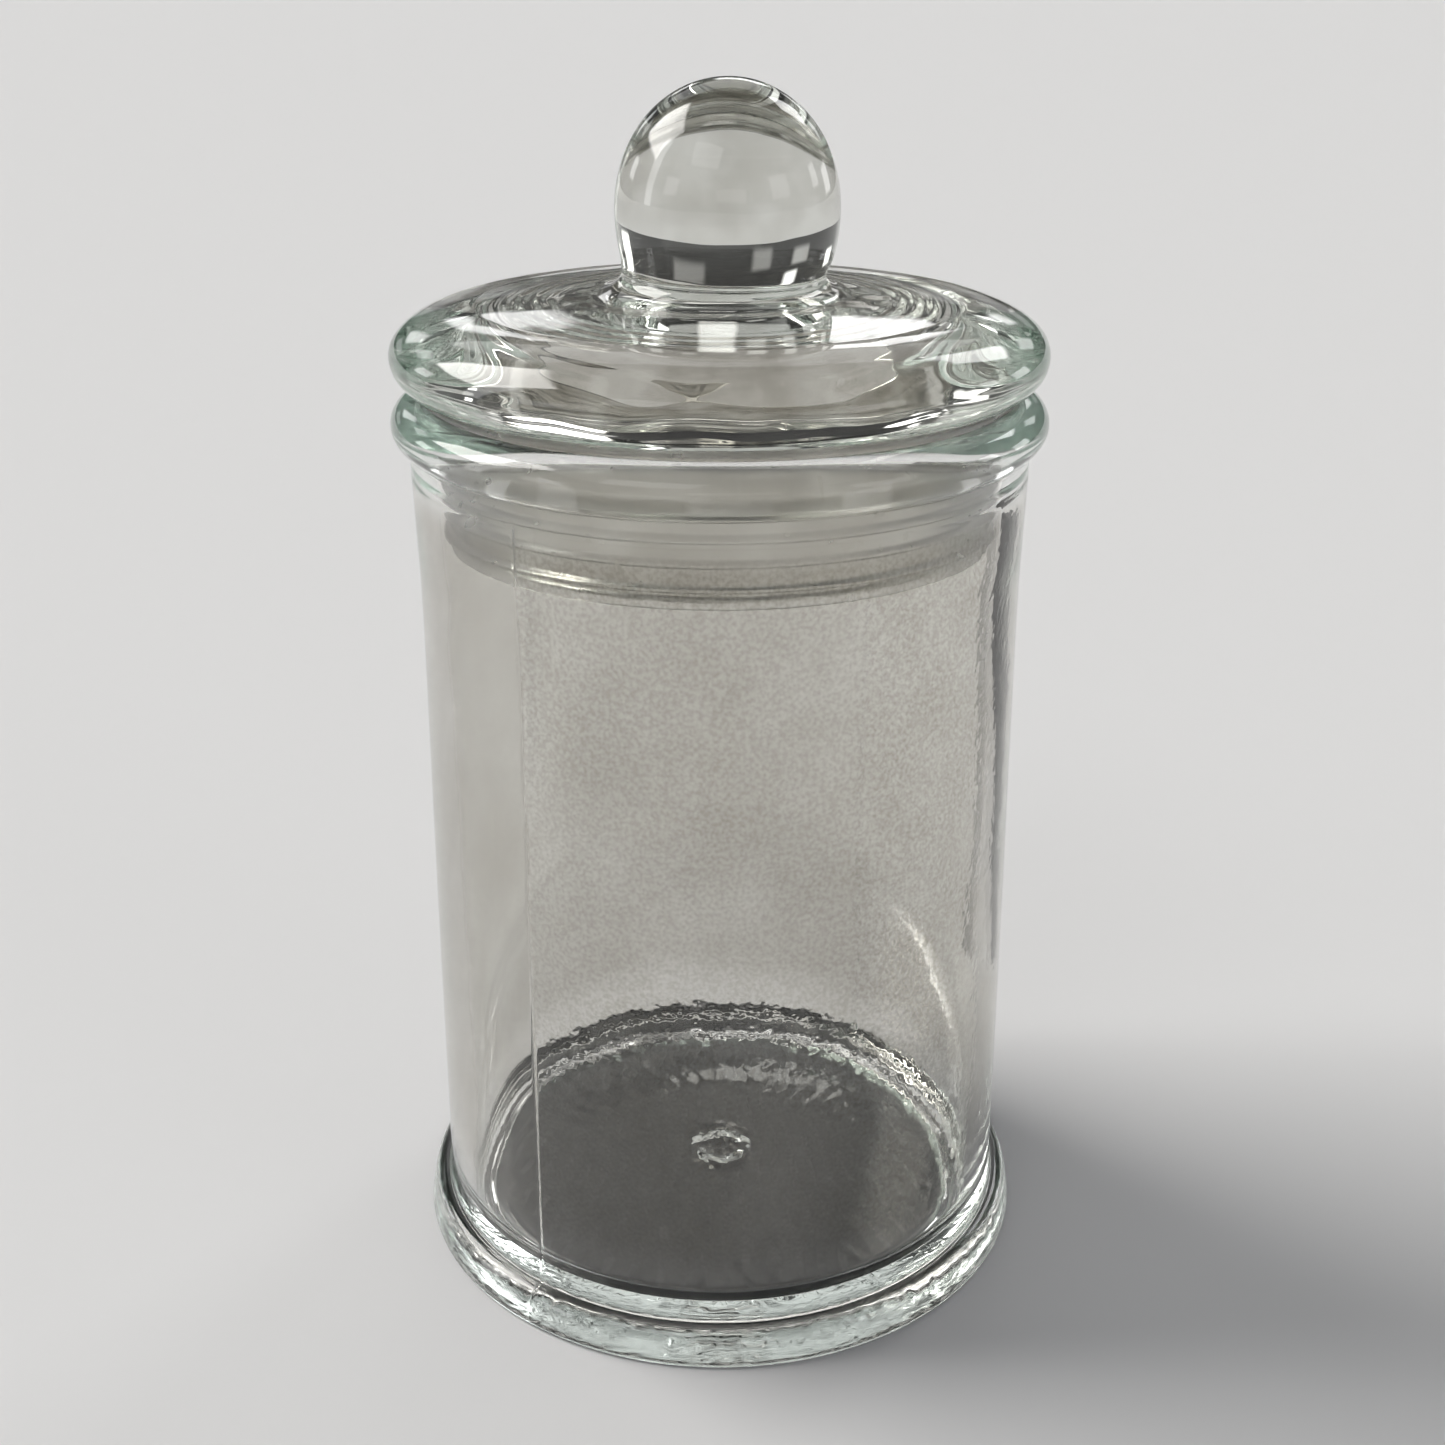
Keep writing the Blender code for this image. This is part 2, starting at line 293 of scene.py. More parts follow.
def rounded(corners, reach):
    """A closed outline with each of its corners rounded off."""
    points = []
    for before, corner, after in zip(corners[-1:] + corners, corners, corners[1:] + corners[:1]):
        corner = np.array(corner)
        ends = []
        for neighbour in (before, after):
            side = np.array(neighbour) - corner
            length = np.linalg.norm(side)
            ends.append(corner + side / length * min(reach, 0.4 * length))
        for t in np.linspace(0, 1, 4):
            points.append((1 - t) ** 2 * ends[0] + 2 * t * (1 - t) * corner + t * t * ends[1])
    return points


def seal_outline():
    """The seal's closed section."""
    lip_bottom = SEAL_TOP - SEAL_LIP_THICKNESS
    corners = [(SEAL_BORE, SEAL_TOP), (SEAL_LIP_RADIUS, SEAL_TOP), (SEAL_LIP_RADIUS, lip_bottom)]
    corners += [(SEAL_SLEEVE_RADIUS + SEAL_CHAMFER, lip_bottom), (SEAL_SLEEVE_RADIUS, SEAL_SLEEVE_TOP)]
    for height in FIN_HEIGHTS:
        corners += [(SEAL_SLEEVE_RADIUS, height + FIN_ROOT), (FIN_RADIUS, height + FIN_TIP)]
        corners += [(FIN_RADIUS, height - FIN_TIP), (SEAL_SLEEVE_RADIUS, height - FIN_ROOT)]
    corners += [(SEAL_SLEEVE_RADIUS, SEAL_BOTTOM + SEAL_CHAMFER)]
    corners += [(SEAL_SLEEVE_RADIUS - SEAL_CHAMFER, SEAL_BOTTOM), (SEAL_BORE, SEAL_BOTTOM)]
    outline = rounded(corners, SEAL_ROUNDING)
    fine = []
    for a, b in zip(outline, outline[1:] + outline[:1]):
        count = max(1, math.ceil(np.linalg.norm(b - a) / SEAL_SPACING))
        fine += [a + (b - a) * i / count for i in range(count)]
    return np.array(fine) * MM


# ---------------------------------------------------------------- fine meshes


def ripple(points, wavelength, seed, waves=28, spread=0.35):
    """A seeded, wavy field of unit strength, with waves near the given length in all directions."""
    rng = np.random.default_rng(seed)
    direction = rng.normal(size=(waves, 3))
    direction /= np.linalg.norm(direction, axis=1)[:, None]
    lengths = wavelength * (1 + spread * rng.uniform(-1, 1, waves))
    phase = rng.uniform(0, math.tau, waves)
    out = np.zeros(len(points))
    for d, length, start in zip(direction, lengths, phase):
        out += np.cos(points @ d * (math.tau / length) + start)
    return out * math.sqrt(2 / waves)


def uneven(points, rows):
    """Relief from several rippled fields."""
    return sum(height * MM * ripple(points, length * MM, seed) for height, length, seed in rows)


def step_up(x, low, high):
    """From 0 to 1, smoothly, as x goes from low to high."""
    t = np.clip((x - low) / (high - low), 0, 1)
    return t * t * (3 - 2 * t)


def between(x, low, high, blend):
    """1 between low and high, fading to 0 over a blend outside them."""
    return step_up(x, low - blend, low) * (1 - step_up(x, high, high + blend))


def outward(outline, closed):
    """Unit normals of an outline, to its left."""
    if closed:
        tangent = np.roll(outline, -1, 0) - np.roll(outline, 1, 0)
    else:
        tangent = np.gradient(outline, axis=0)
        tangent[[0, -1], 1] = 0
    tangent /= np.linalg.norm(tangent, axis=1)[:, None]
    return np.c_[-tangent[:, 1], tangent[:, 0]]


def columns(fine_at=()):
    """Angles round the axis, closer together at the given places."""
    angles = np.arange(AROUND) * math.tau / AROUND
    for place in fine_at:
        away = np.abs(np.angle(np.exp(1j * (angles - place)))) > SEAM_REACH
        angles = np.r_[angles[away], place + np.linspace(-SEAM_REACH, SEAM_REACH, SEAM_COLUMNS)]
    return np.sort(np.mod(angles, math.tau))


def swept(outline, angle, closed):
    """Radius, height, angle and normal of a turned mesh's points. An open outline ends on the axis."""
    rows = slice(None) if closed else slice(1, -1)
    radius = np.repeat(outline[rows, 0], len(angle))
    height = np.repeat(outline[rows, 1], len(angle))
    turn = np.tile(angle, len(outline[rows]))
    normal = np.repeat(outward(outline, closed)[rows], len(angle), axis=0)
    if not closed:
        radius = np.r_[radius, 0, 0]
        height = np.r_[height, outline[0, 1], outline[-1, 1]]
        turn = np.r_[turn, 0, 0]
        normal = np.vstack([normal, [[0, 1], [0, -1]]])
    return radius, height, turn, normal


def woven(rows, around, closed):
    """Faces between the rows of points, and a fan round each end point if the outline is open."""
    first = np.arange(rows if closed else rows - 1)[:, None]
    here = first * around
    below = (first + 1) % rows * around
    j = np.arange(around)[None]
    k = (j + 1) % around
    faces = np.stack([here + j, below + j, below + k, here + k], -1).reshape(-1, 4).tolist()
    if not closed:
        end = rows * around
        last = (rows - 1) * around
        faces += [(end, n, (n + 1) % around) for n in range(around)]
        faces += [(end + 1, last + (n + 1) % around, last + n) for n in range(around)]
    return faces


def turned(name, outline, material, relief=None, closed=False, fine_at=()):
    """A fine turned mesh. relief(points, angle, radius, height) gives how far each point stands out."""
    angle = columns(fine_at)
    radius, height, turn, normal = swept(outline, angle, closed)
    across = np.c_[np.cos(turn), np.sin(turn)]
    points = np.c_[radius[:, None] * across, height]
    if relief is not None:
        out = relief(points, turn, radius, height)
        points = points + out[:, None] * np.c_[normal[:, :1] * across, normal[:, 1]]
    rows = len(outline) if closed else len(outline) - 2
    mesh = bpy.data.meshes.new(name)
    mesh.from_pydata(points.tolist(), [], woven(rows, len(angle), closed))
    mesh.polygons.foreach_set("use_smooth", np.ones(len(mesh.polygons), bool))
    mesh.update()
    mesh.materials.append(material)
    piece = bpy.data.objects.new(name, mesh)
    bpy.context.scene.collection.objects.link(piece)
    return piece


def volume_of(piece):
    """Signed: negative if the faces point in."""
    mesh = piece.data
    mesh.calc_loop_triangles()
    corners = np.empty(len(mesh.loop_triangles) * 3, np.int32)
    mesh.loop_triangles.foreach_get("vertices", corners)
    at = np.empty(len(mesh.vertices) * 3)
    mesh.vertices.foreach_get("co", at)
    a, b, c = at.reshape(-1, 3)[corners.reshape(-1, 3)].transpose(1, 0, 2)
    return float(np.einsum("ij,ij->i", a, np.cross(b, c)).sum() / 6)


def outside_out(piece):
    """Turn the faces round if they point in."""
    if volume_of(piece) < 0:
        piece.data.flip_normals()
    return piece


# ---------------------------------------------------------------- relief


def granular_side(angle):
    """1 on the side of the seams that the mould left granular, 0 on the smooth side."""
    turn = np.sin(angle - SEAM_ANGLE)
    return step_up(turn, -0.02, 0.02)


def wall_relief(points, angle, outer, height):
    """Orange peel outside, mostly on the granular side, and a gently uneven wall outside and in."""
    peel = uneven(points, WALL_PEEL) * (0.25 + 0.75 * granular_side(angle))
    sway = uneven(points, WALL_SWAY)
    outside = (peel + 0.4 * sway) * between(height, 0.0120, 0.1000, 0.0040)
    inside = sway * between(height, 0.0200, 0.0900, 0.0100) * (height > 0.0045)
    return np.where(outer, outside, inside)


def seam_relief(angle, radius, height):
    """A thin ridge down the outside at each of the mould's two seams."""
    ridges = np.zeros(len(angle))
    for seam in (SEAM_ANGLE, SEAM_ANGLE + math.pi):
        off = np.angle(np.exp(1j * (angle - seam))) * radius
        ridges += np.exp(-((off / SEAM_WIDTH) ** 2))
    return SEAM_HEIGHT * ridges * between(height, 0.0008, 0.1024, 0.0003)


def neck_relief(height):
    """The groove where the neck's mould met the wall's."""
    return -GROOVE_DEPTH * np.exp(-(((height - NECK_HEIGHT * MM) / GROOVE_WIDTH) ** 2))


def standing_relief(points, radius, height):
    """Pebbles in the ring that the jar stands on."""
    ring = (height < 0.0003) * between(radius, 0.0350, 0.0386, 0.0004)
    pebbles = 0.5 + 0.5 * np.tanh(ripple(points, 1.7 * MM, 7, waves=60))
    return -ring * PEBBLE_HEIGHT * (1 - pebbles)


def bottom_relief(points, angle, radius, height):
    """Faint streaks underneath, and a round mark in the middle, inside and underneath."""
    beneath = height < 0.0030
    reach = between(radius, 0.0045, 0.0300, 0.0030) * radius / 0.0300
    streaks = np.cos(STREAK_COUNT * angle + ripple(points, 9 * MM, 5)) * reach
    mark = np.exp(-(((radius - MARK_RADIUS) / MARK_WIDTH) ** 2)) * (radius < 0.010)
    below = STREAK_HEIGHT * streaks - MARK_DEPTH_BELOW * mark
    return np.where(beneath, below, MARK_HEIGHT_ABOVE * mark)


def jar_relief(points, angle, radius, height):
    """Everything that stands out from the jar's turned shape."""
    outer = radius > 0.0350
    out = wall_relief(points, angle, outer, height)
    out += np.where(outer, seam_relief(angle, radius, height) + neck_relief(height), 0.0)
    out += standing_relief(points, radius, height)
    return out + bottom_relief(points, angle, radius, height)


def recess_rings(angle, radius, height):
    """Slightly wandering rings in the recess's corner."""
    wander = 0.07 * np.cos(3 * angle + 1.0) + 0.06 * np.cos(7 * angle + 2.0)
    wander += 0.05 * np.cos(13 * angle + 0.4)
    rings = np.cos(((radius - 0.8 * height) / (RING_PITCH * MM) + wander) * math.tau)
    return rings * between(radius, 0.0195, 0.0279, 0.0015) * step_up(height, -0.0120, -0.0080)


def lid_relief(points, angle, radius, height):
    """Gentle sway on the fire-polished outside, and more of it, with turning rings, in the recess."""
    recess = (height < 0.0047) & (radius < 0.0282)
    inside = uneven(points, RECESS_SWAY) + RING_HEIGHT * MM * recess_rings(angle, radius, height)
    return np.where(recess, inside, uneven(points, LID_SWAY))


def lean_knob(points):
    """Move the knob a little off the lid's axis."""
    share = step_up(points[:, 2], SEAT_HEIGHT + 0.0090, SEAT_HEIGHT + 0.0150)
    points[:, 0] += KNOB_LEAN * MM * share * (np.hypot(points[:, 0], points[:, 1]) < 0.0200)
    return points


# ---------------------------------------------------------------- materials


def math_node(tree, operation, a, b=None, c=None):
    """A math node's output. Each input is a number or another node's output."""
    node = tree.nodes.new("ShaderNodeMath")
    node.operation = operation
    for socket, value in zip(node.inputs, (a, b, c)):
        if value is None:
            continue
        if isinstance(value, (int, float)):
            socket.default_value = value
        else:
            tree.links.new(value, socket)
    return node.outputs[0]


def times(tree, a, b):
    return math_node(tree, "MULTIPLY", a, b)


def scaled(tree, value, factor, offset):
    """The value times a factor, plus an offset."""
    return math_node(tree, "MULTIPLY_ADD", value, factor, offset)


def along(tree, direction, vector):
    """How far a vector reaches along another."""
    node = tree.nodes.new("ShaderNodeVectorMath")
    node.operation = "DOT_PRODUCT"
    tree.links.new(direction, node.inputs[0])
    node.inputs[1].default_value = vector
    return node.outputs["Value"]


def soft_step(tree, value, low, high, bottom=0.0, top=1.0):
    """From bottom to top, smoothly, as the value goes from low to high."""
    node = tree.nodes.new("ShaderNodeMapRange")
    node.interpolation_type = "SMOOTHSTEP"
    tree.links.new(value, node.inputs["Value"])
    node.inputs["From Min"].default_value = low
    node.inputs["From Max"].default_value = high
    node.inputs["To Min"].default_value = bottom
    node.inputs["To Max"].default_value = top
    return node.outputs["Result"]


def place_in(tree):
    """Where a point is on the piece itself, in metres."""
    return tree.nodes.new("ShaderNodeTexCoord").outputs["Object"]


def from_axis(tree, place):
    """How far a place is from the axis."""
    flat = tree.nodes.new("ShaderNodeVectorMath")
    flat.operation = "MULTIPLY"
    tree.links.new(place, flat.inputs[0])
    flat.inputs[1].default_value = (1, 1, 0)
    length = tree.nodes.new("ShaderNodeVectorMath")
    length.operation = "LENGTH"
    tree.links.new(flat.outputs["Vector"], length.inputs[0])
    return length.outputs["Value"]


def grain(tree, place, pitch, detail=1.0):
    """Noise from 0 to 1, with grains about as far apart as the pitch, in metres."""
    node = tree.nodes.new("ShaderNodeTexNoise")
    tree.links.new(place, node.inputs["Vector"])
    node.inputs["Scale"].default_value = 1 / pitch
    node.inputs["Detail"].default_value = detail
    return node.outputs["Fac"]


def stand_out(tree, shader, height, distance):
    """Fine relief in the shader, up to the distance in metres."""
    node = tree.nodes.new("ShaderNodeBump")
    node.inputs["Distance"].default_value = distance
    tree.links.new(height, node.inputs["Height"])
    tree.links.new(node.outputs["Normal"], shader.inputs["Normal"])


def tint(tree, shader, share, tints):
    """Painted shade: the colour that the glass passes, from the first tint to the second by the share."""
    mix = tree.nodes.new("ShaderNodeMix")
    mix.data_type = "RGBA"
    tree.links.new(share, mix.inputs["Factor"])
    mix.inputs[6].default_value = (*tints[0], 1.0)
    mix.inputs[7].default_value = (*tints[1], 1.0)
    tree.links.new(mix.outputs[2], shader.inputs["Base Color"])


def new_material(name):
    """Gives the material, its nodes and its shader."""
    material = bpy.data.materials.new(name)
    material.use_nodes = True
    tree = material.node_tree
    return material, tree, tree.nodes["Principled BSDF"]


def glass(name):
    """Clear soda-lime glass, pale green where it is thick."""
    material, tree, shader = new_material(name)
    shader.inputs["IOR"].default_value = GLASS_IOR
    shader.inputs["Transmission Weight"].default_value = 1.0
    absorb = tree.nodes.new("ShaderNodeVolumeAbsorption")
    absorb.inputs["Color"].default_value = (*GLASS_GREEN, 1.0)
    absorb.inputs["Density"].default_value = GLASS_DENSITY
    tree.links.new(absorb.outputs["Volume"], tree.nodes["Material Output"].inputs["Volume"])
    return material, tree, shader


def painted_fan_streaks(tree, place):
    """Painted pale streaks that fan out over the bottom, broken up here and there, standing in for light
    through its faint streaks. From 0 to 1.
    """
    back = math_node(tree, "SUBTRACT", 0.085, along(tree, place, (0, 1, 0)))
    fan = math_node(tree, "ARCTAN2", along(tree, place, (1, 0, 0)), back)
    drift = times(tree, grain(tree, place, 12.0 * MM), 9.0)
    line = math_node(tree, "COSINE", scaled(tree, fan, 230.0, drift))
    broken = soft_step(tree, grain(tree, place, 4.0 * MM, 2.0), 0.40, 0.62)
    return times(tree, soft_step(tree, line, 0.1, 0.9), broken)


def outer_wall(tree, place, height):
    """1 on the outside of the jar's wall, fading to 0 at its foot and neck. 0 elsewhere."""
    ends = times(tree, soft_step(tree, height, 0.1020, 0.0990), soft_step(tree, height, 0.008, 0.016))
    return times(tree, ends, soft_step(tree, from_axis(tree, place), 0.0345, 0.0350))


def underneath(tree, place, height):
    """1 under the jar's bottom, inside the ring that it stands on. 0 elsewhere."""
    low = soft_step(tree, height, 0.0040, 0.0030)
    return times(tree, low, soft_step(tree, from_axis(tree, place), 0.031, 0.028))


def jar_painted_shade(tree, place, side, wall, bottom):
    """How clear the glass is painted: less so on the wall as painted shade, in painted light and dark specks
    and clouds, and between the fan's painted pale streaks.
    """
    # Painted light and dark specks and clouds, standing in for the mottling that refraction gives.
    painted_speck = soft_step(tree, grain(tree, place, 0.5 * MM, 2.0), 0.30, 0.70, -0.16, 0.16)
    painted_cloud = soft_step(tree, grain(tree, place, 14.0 * MM, 2.0), 0.3, 0.7, -0.06, 0.06)
    mottle = math_node(tree, "ADD", scaled(tree, painted_speck, side, -0.5), painted_cloud)
    # Painted shade between the fan's painted pale streaks under the bottom.
    lines = scaled(tree, painted_fan_streaks(tree, place), 0.62, -0.64)
    return scaled(tree, lines, bottom, scaled(tree, mottle, wall, 1.0))


def jar_roughness(tree, place, height):
    """Frost where the jar stands, and a few dull specks all over."""
    standing = soft_step(tree, height, 0.0003, 0.0001)
    frost = soft_step(tree, grain(tree, place, 0.5 * MM), 0.35, 0.65, 0.02, 0.14)
    dust = soft_step(tree, grain(tree, place, 1.4 * MM, 3.0), 0.73, 0.79, 0.0, 0.10)
    return math_node(tree, "MAXIMUM", times(tree, standing, frost), dust)


def jar_glass():
    """Granular between the seams on one side, clear on the other, and frosted where it stands. Its colour
    carries painted shade on the wall, painted specks and clouds, and painted pale streaks under the bottom.
    """
    material, tree, shader = glass("jar_glass")
    place = place_in(tree)
    height = along(tree, place, (0, 0, 1))
    across = (-math.sin(SEAM_ANGLE), math.cos(SEAM_ANGLE), 0)
    side = soft_step(tree, along(tree, place, across), -0.0005, 0.0005, 0.12, 1.0)
    wall = outer_wall(tree, place, height)
    fine = scaled(tree, grain(tree, place, 1.8 * MM), 0.6, grain(tree, place, 0.9 * MM))
    stand_out(tree, shader, times(tree, times(tree, fine, side), wall), GRAIN_HEIGHT)
    bottom = underneath(tree, place, height)
    # Painted shade in the glass's colour: darker on the wall and the bottom, with painted specks, clouds and
    # streaks.
    tint(tree, shader, jar_painted_shade(tree, place, side, wall, bottom), JAR_SHADE_TINTS)
    tree.links.new(jar_roughness(tree, place, height), shader.inputs["Roughness"])
    return material


def lid_glass():
    """Fire-polished, with faint clouds of painted shade and a few dull specks."""
    material, tree, shader = glass("lid_glass")
    place = place_in(tree)
    stand_out(tree, shader, grain(tree, place, 3.0 * MM), 0.008 * MM)
    # Painted shade in the lid's colour, in faint clouds.
    tint(tree, shader, soft_step(tree, grain(tree, place, 6.0 * MM, 2.0), 0.3, 0.7), LID_SHADE_TINTS)
    dust = soft_step(tree, grain(tree, place, 0.9 * MM, 3.0), 0.71, 0.76, 0.0, 0.25)
    tree.links.new(dust, shader.inputs["Roughness"])
    return material


def silicone():
    """Milky, translucent and slightly mottled."""
    material, tree, shader = new_material("seal_silicone")
    shader.inputs["Base Color"].default_value = (1.0, 0.998, 0.98, 1.0)
    shader.inputs["IOR"].default_value = 1.30
    shader.inputs["Transmission Weight"].default_value = 0.97
    place = place_in(tree)
    mottle = soft_step(tree, grain(tree, place, 2.5 * MM, 2.0), 0.3, 0.7, 0.27, 0.40)
    tree.links.new(mottle, shader.inputs["Roughness"])
    stand_out(tree, shader, grain(tree, place, 0.5 * MM), 0.010 * MM)
    return material


# ---------------------------------------------------------------- the pieces


def build_jar():
    seams = (SEAM_ANGLE, SEAM_ANGLE + math.pi)
    jar = outside_out(turned("jar_body", jar_outline(), jar_glass(), jar_relief, fine_at=seams))
    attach(jar, "jar")
    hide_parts("jar")


def build_lid():
    """The lid's relief is worked out in its own heights, before it is lifted to its seat."""
    lid = turned("lid_body", lid_outline(), lid_glass(), lid_relief)
    at = np.empty(len(lid.data.vertices) * 3)
    lid.data.vertices.foreach_get("co", at)
    at = at.reshape(-1, 3)
    at[:, 2] += SEAT_HEIGHT
    lid.data.vertices.foreach_set("co", lean_knob(at).ravel())
    lid.data.update()
    outside_out(lid)
    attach(lid, "lid")
    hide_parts("lid")


def build_seal():
    seal = outside_out(turned("seal_ring", seal_outline(), silicone(), closed=True))
    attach(seal, "seal")
    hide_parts("seal")


# ---------------------------------------------------------------- studio

# Brightness of the room overhead, low down and straight ahead at the horizon, and of the camera's backdrop.
ROOF_LEVEL = 0.03
LOW_LEVEL = 0.24
AHEAD_LEVEL = 0.07
BACKDROP_LEVEL = 0.70

# Lights in the sky: azimuth, elevation, width and height in degrees, and strength. Azimuth 0 is ahead of the
# camera (+Y), and 90 is its right (+X).
KEY = (-68, 42, 34, 30, 7.9)
KEY_COLOUR = (1.02, 1.0, 0.965)
KEY_EDGE = 0.06
SOFTBOXES = (
    (-90, 20, 9, 44, 3.0),
    (36, 34, 13, 18, 4.2),
    (-152, 46, 28, 20, 1.4),
    (-2, 38, 42, 22, 0.70),
)
BOX_EDGE = 0.04
WINDOWS = (
    (56, 7, 11, 11, 3.0),
    (-30, 5, 9, 5, 0.5),
    (-12, 4, 7, 6, 0.35),
    (14, 6, 12, 4, 0.30),
    (4, 21, 13, 8, 3.2),
    (-11, 17, 7, 5, 2.0),
    (15, 13, 6, 4, 1.6),
    (-26, 15, 6, 9, 1.8),
    (31, 16, 7, 7, 1.6),
    (-40, 22, 8, 6, 1.4),
    (-58, 12, 9, 9, 3.0),
    (76, 14, 9, 12, 2.6),
    (-118, 16, 16, 14, 1.4),
    (124, 18, 20, 16, 1.4),
    (176, 14, 30, 10, 0.9),
)


# The soft light near the camera, with its height above the horizon and its width in degrees.
FRONT_STRENGTH = 1.0
FRONT_COLOUR = (0.975, 1.0, 1.03)
FRONT_ELEVATION = 17
FRONT_WIDTH = 15

# The floor, and the air under the foot.
FLOOR_SIZE = 60
FLOOR_GAP = 0.1 * MM
FLOOR_COLOUR = (0.78, 0.78, 0.785)

# The dark card. Its distance is from the wall's right side, and its edges are azimuths seen from there, in
# degrees, left and right, at its foot and at its head.
WALL_SIDE = 0.036
FLAG_DISTANCE = 0.045
FLAG_FOOT = (28, 39)
FLAG_HEAD = (28, 58)
FLAG_LOW = 0.010
FLAG_HIGH = 0.084
FLAG_COLOUR = (0.01, 0.01, 0.01)

# The photo's camera, fitted to the outlines of the foot, neck, rim and wall. It looks down by the tilt.
CAMERA_PLACE = (0.00031, -0.2177, 0.1584)
CAMERA_TILT = 22.52
CAMERA_LENS = 46.27

# How many times light may bounce. With fewer, the thick flange, rim and foot go black.
BOUNCES = 80


def softbox(tree, direction, azimuth, elevation, width, height, strength, edge):
    """A rectangle of light in the sky, 0 outside it."""
    a, e = math.radians(azimuth), math.radians(elevation)
    ahead = Vector((math.sin(a) * math.cos(e), math.cos(a) * math.cos(e), math.sin(e)))
    right = Vector((math.cos(a), -math.sin(a), 0))
    depth = along(tree, direction, ahead)
    inside = soft_step(tree, depth, 0.0, 0.05)
    safe = math_node(tree, "MAXIMUM", depth, 0.02)
    for axis, size in ((right, width), (right.cross(ahead), height)):
        half = math.tan(math.radians(size / 2))
        off = math_node(tree, "DIVIDE", along(tree, direction, axis), safe)
        off = math_node(tree, "ABSOLUTE", off)
        inside = times(tree, inside, soft_step(tree, off, half + edge / 2, half - edge / 2))
    return times(tree, inside, strength)


def room_level(tree, direction):
    """Brightness of a dim room with its windows and softboxes, darker straight ahead and overhead."""
    ahead = along(tree, direction, (0, 1, 0))
    wall = soft_step(tree, ahead, 0.45, 0.05, AHEAD_LEVEL, LOW_LEVEL)
    low = soft_step(tree, along(tree, direction, (0, 0, 1)), 0.50, 0.36)
    level = scaled(tree, math_node(tree, "SUBTRACT", wall, ROOF_LEVEL), low, ROOF_LEVEL)
    for box in SOFTBOXES + WINDOWS:
        level = math_node(tree, "ADD", level, softbox(tree, direction, *box, edge=BOX_EDGE))
    return level


def unless_camera(tree, level):
    """The level, or the plain backdrop's where the camera itself looks."""
    seen = tree.nodes.new("ShaderNodeLightPath")
    mix = tree.nodes.new("ShaderNodeMix")
    tree.links.new(seen.outputs["Is Camera Ray"], mix.inputs["Factor"])
    tree.links.new(level, mix.inputs["A"])
    mix.inputs["B"].default_value = BACKDROP_LEVEL
    return mix.outputs["Result"]


def background(tree, colour, strength):
    node = tree.nodes.new("ShaderNodeBackground")
    node.inputs["Color"].default_value = (*colour, 1.0)
    tree.links.new(strength, node.inputs["Strength"])
    return node.outputs[0]


def build_world():
    """A dim room with a few windows and softboxes. The camera itself sees a plain pale backdrop."""
    world = bpy.data.worlds.new("studio")
    bpy.context.scene.world = world
    world.use_nodes = True
    tree = world.node_tree
    tree.nodes.clear()
    direction = tree.nodes.new("ShaderNodeTexCoord").outputs["Generated"]
    level = unless_camera(tree, room_level(tree, direction))
    key = softbox(tree, direction, *KEY, edge=KEY_EDGE)
    both = tree.nodes.new("ShaderNodeAddShader")
    tree.links.new(background(tree, (1.0, 1.0, 1.0), level), both.inputs[0])
    tree.links.new(background(tree, KEY_COLOUR, key), both.inputs[1])
    output = tree.nodes.new("ShaderNodeOutputWorld")
    tree.links.new(both.outputs[0], output.inputs["Surface"])


def build_front_light():
    """A soft light near the camera, whose shadow falls behind the canister."""
    data = bpy.data.lights.new("front_light", "SUN")
    data.energy = FRONT_STRENGTH
    data.angle = math.radians(FRONT_WIDTH)
    data.color = FRONT_COLOUR
    light = bpy.data.objects.new("front_light", data)
    light.rotation_euler = (math.radians(90 - FRONT_ELEVATION), 0, 0)
    light.visible_glossy = False
    light.visible_transmission = False
    bpy.context.scene.collection.objects.link(light)


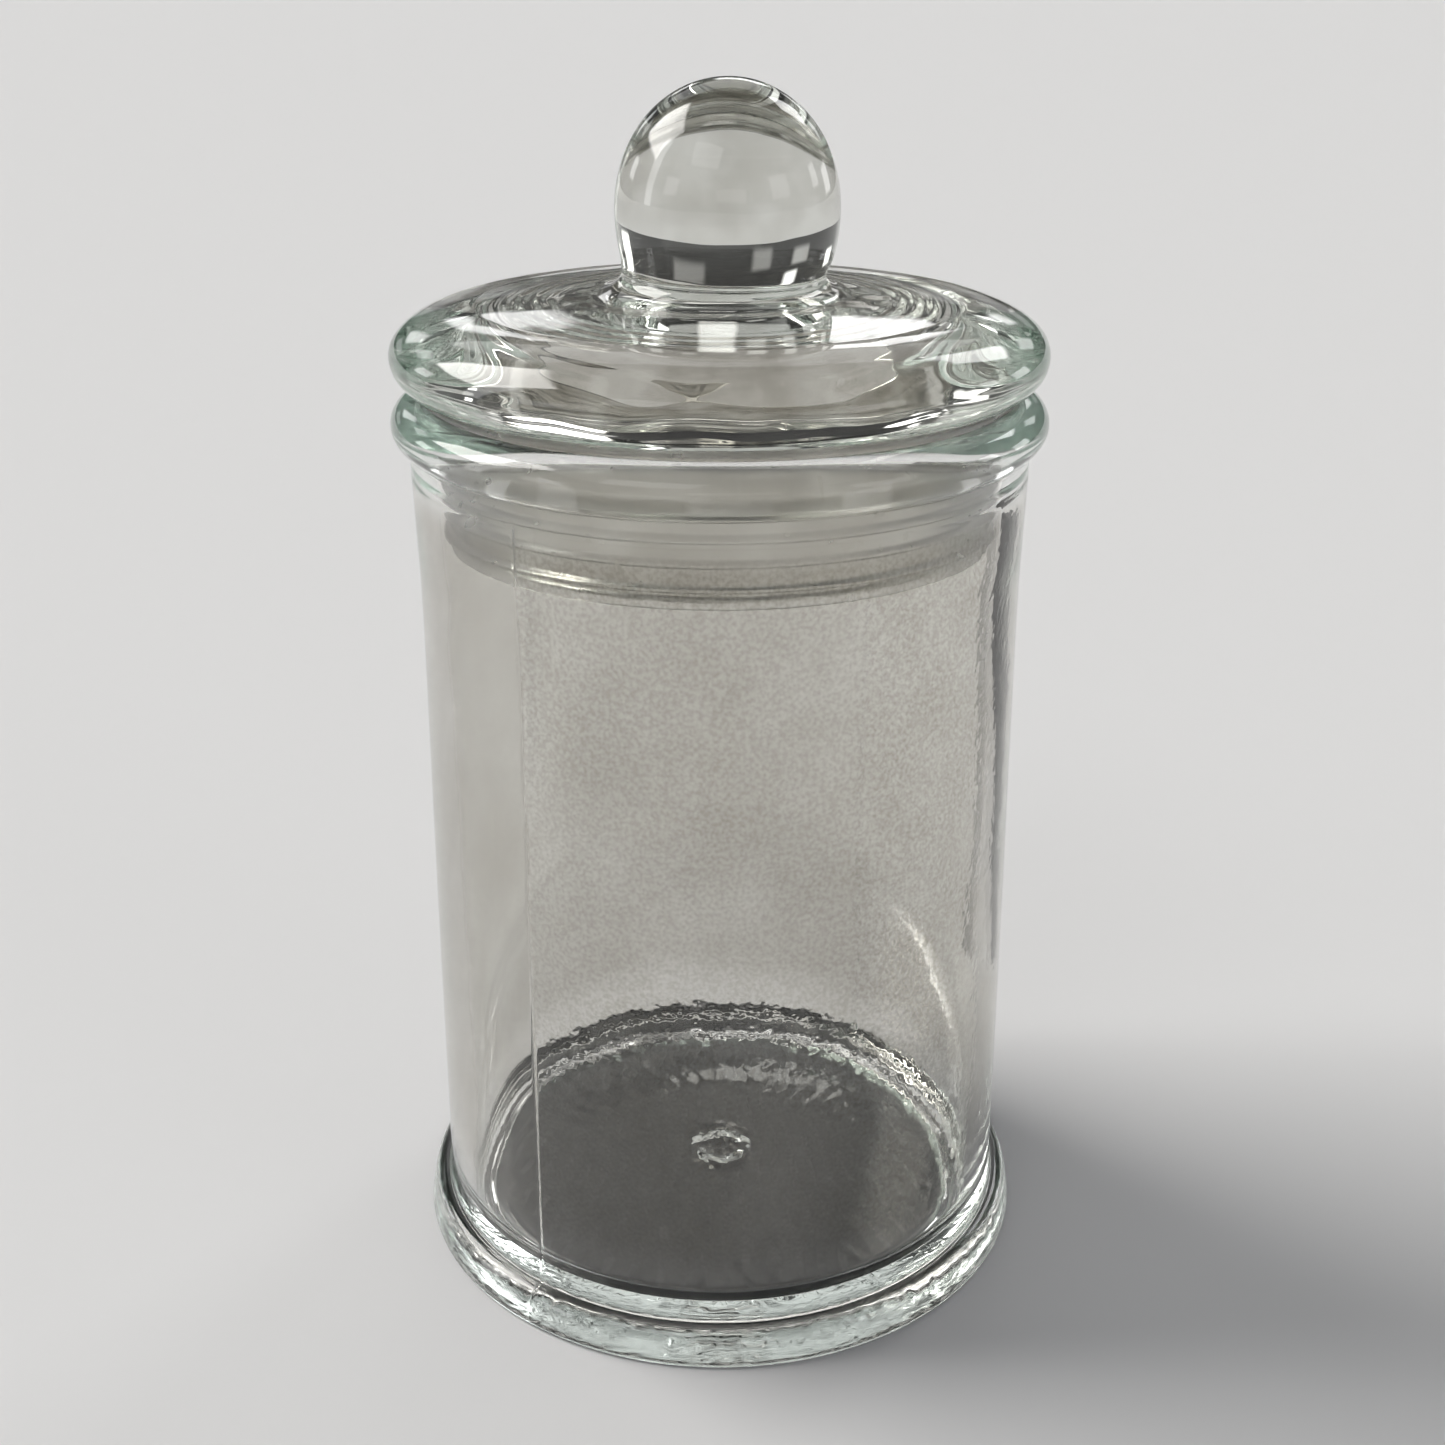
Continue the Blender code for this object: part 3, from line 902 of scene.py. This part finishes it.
def matt(name, colour):
    """A matt material and its shader."""
    material, _, shader = new_material(name)
    shader.inputs["Base Color"].default_value = (*colour, 1.0)
    shader.inputs["Roughness"].default_value = 0.9
    return material, shader


def build_floor():
    """Plain and pale, and wide enough to fill the view up to the horizon."""
    bpy.ops.mesh.primitive_plane_add(size=FLOOR_SIZE, location=(0, 0, -FLOOR_GAP))
    floor = bpy.context.active_object
    floor.name = "floor"
    material, shader = matt("floor", FLOOR_COLOUR)
    shader.inputs["Specular IOR Level"].default_value = 0.1
    floor.data.materials.append(material)


def build_flag():
    """A dark card beside and behind, seen only through glass. It draws the dark line near the right edge."""
    foot = [(azimuth, FLAG_LOW) for azimuth in FLAG_FOOT]
    head = [(azimuth, FLAG_HIGH) for azimuth in reversed(FLAG_HEAD)]
    corners = []
    for azimuth, height in foot + head:
        turn = math.radians(azimuth)
        x = WALL_SIDE + FLAG_DISTANCE * math.sin(turn)
        corners.append((x, FLAG_DISTANCE * math.cos(turn), height))
    mesh = bpy.data.meshes.new("flag")
    mesh.from_pydata(corners, [], [(0, 1, 2, 3)])
    mesh.materials.append(matt("flag", FLAG_COLOUR)[0])
    flag = bpy.data.objects.new("flag", mesh)
    bpy.context.scene.collection.objects.link(flag)
    flag.visible_camera = False
    flag.visible_shadow = False
    flag.visible_diffuse = False
    flag.visible_glossy = False


def build_camera():
    data = bpy.data.cameras.new("camera")
    data.lens = CAMERA_LENS
    data.sensor_width = 36
    data.clip_start = 0.01
    data.clip_end = 100
    camera = bpy.data.objects.new("camera", data)
    camera.location = CAMERA_PLACE
    camera.rotation_euler = (math.radians(90 - CAMERA_TILT), 0, 0)
    bpy.context.scene.collection.objects.link(camera)
    bpy.context.scene.camera = camera


def set_light_paths():
    scene = bpy.context.scene
    scene.view_settings.view_transform = "Standard"
    scene.cycles.caustics_refractive = False
    scene.cycles.caustics_reflective = False
    scene.cycles.max_bounces = BOUNCES
    scene.cycles.transmission_bounces = BOUNCES
    scene.cycles.glossy_bounces = BOUNCES


build_jar()
build_lid()
build_seal()
build_world()
build_front_light()
build_floor()
build_flag()
build_camera()
set_light_paths()
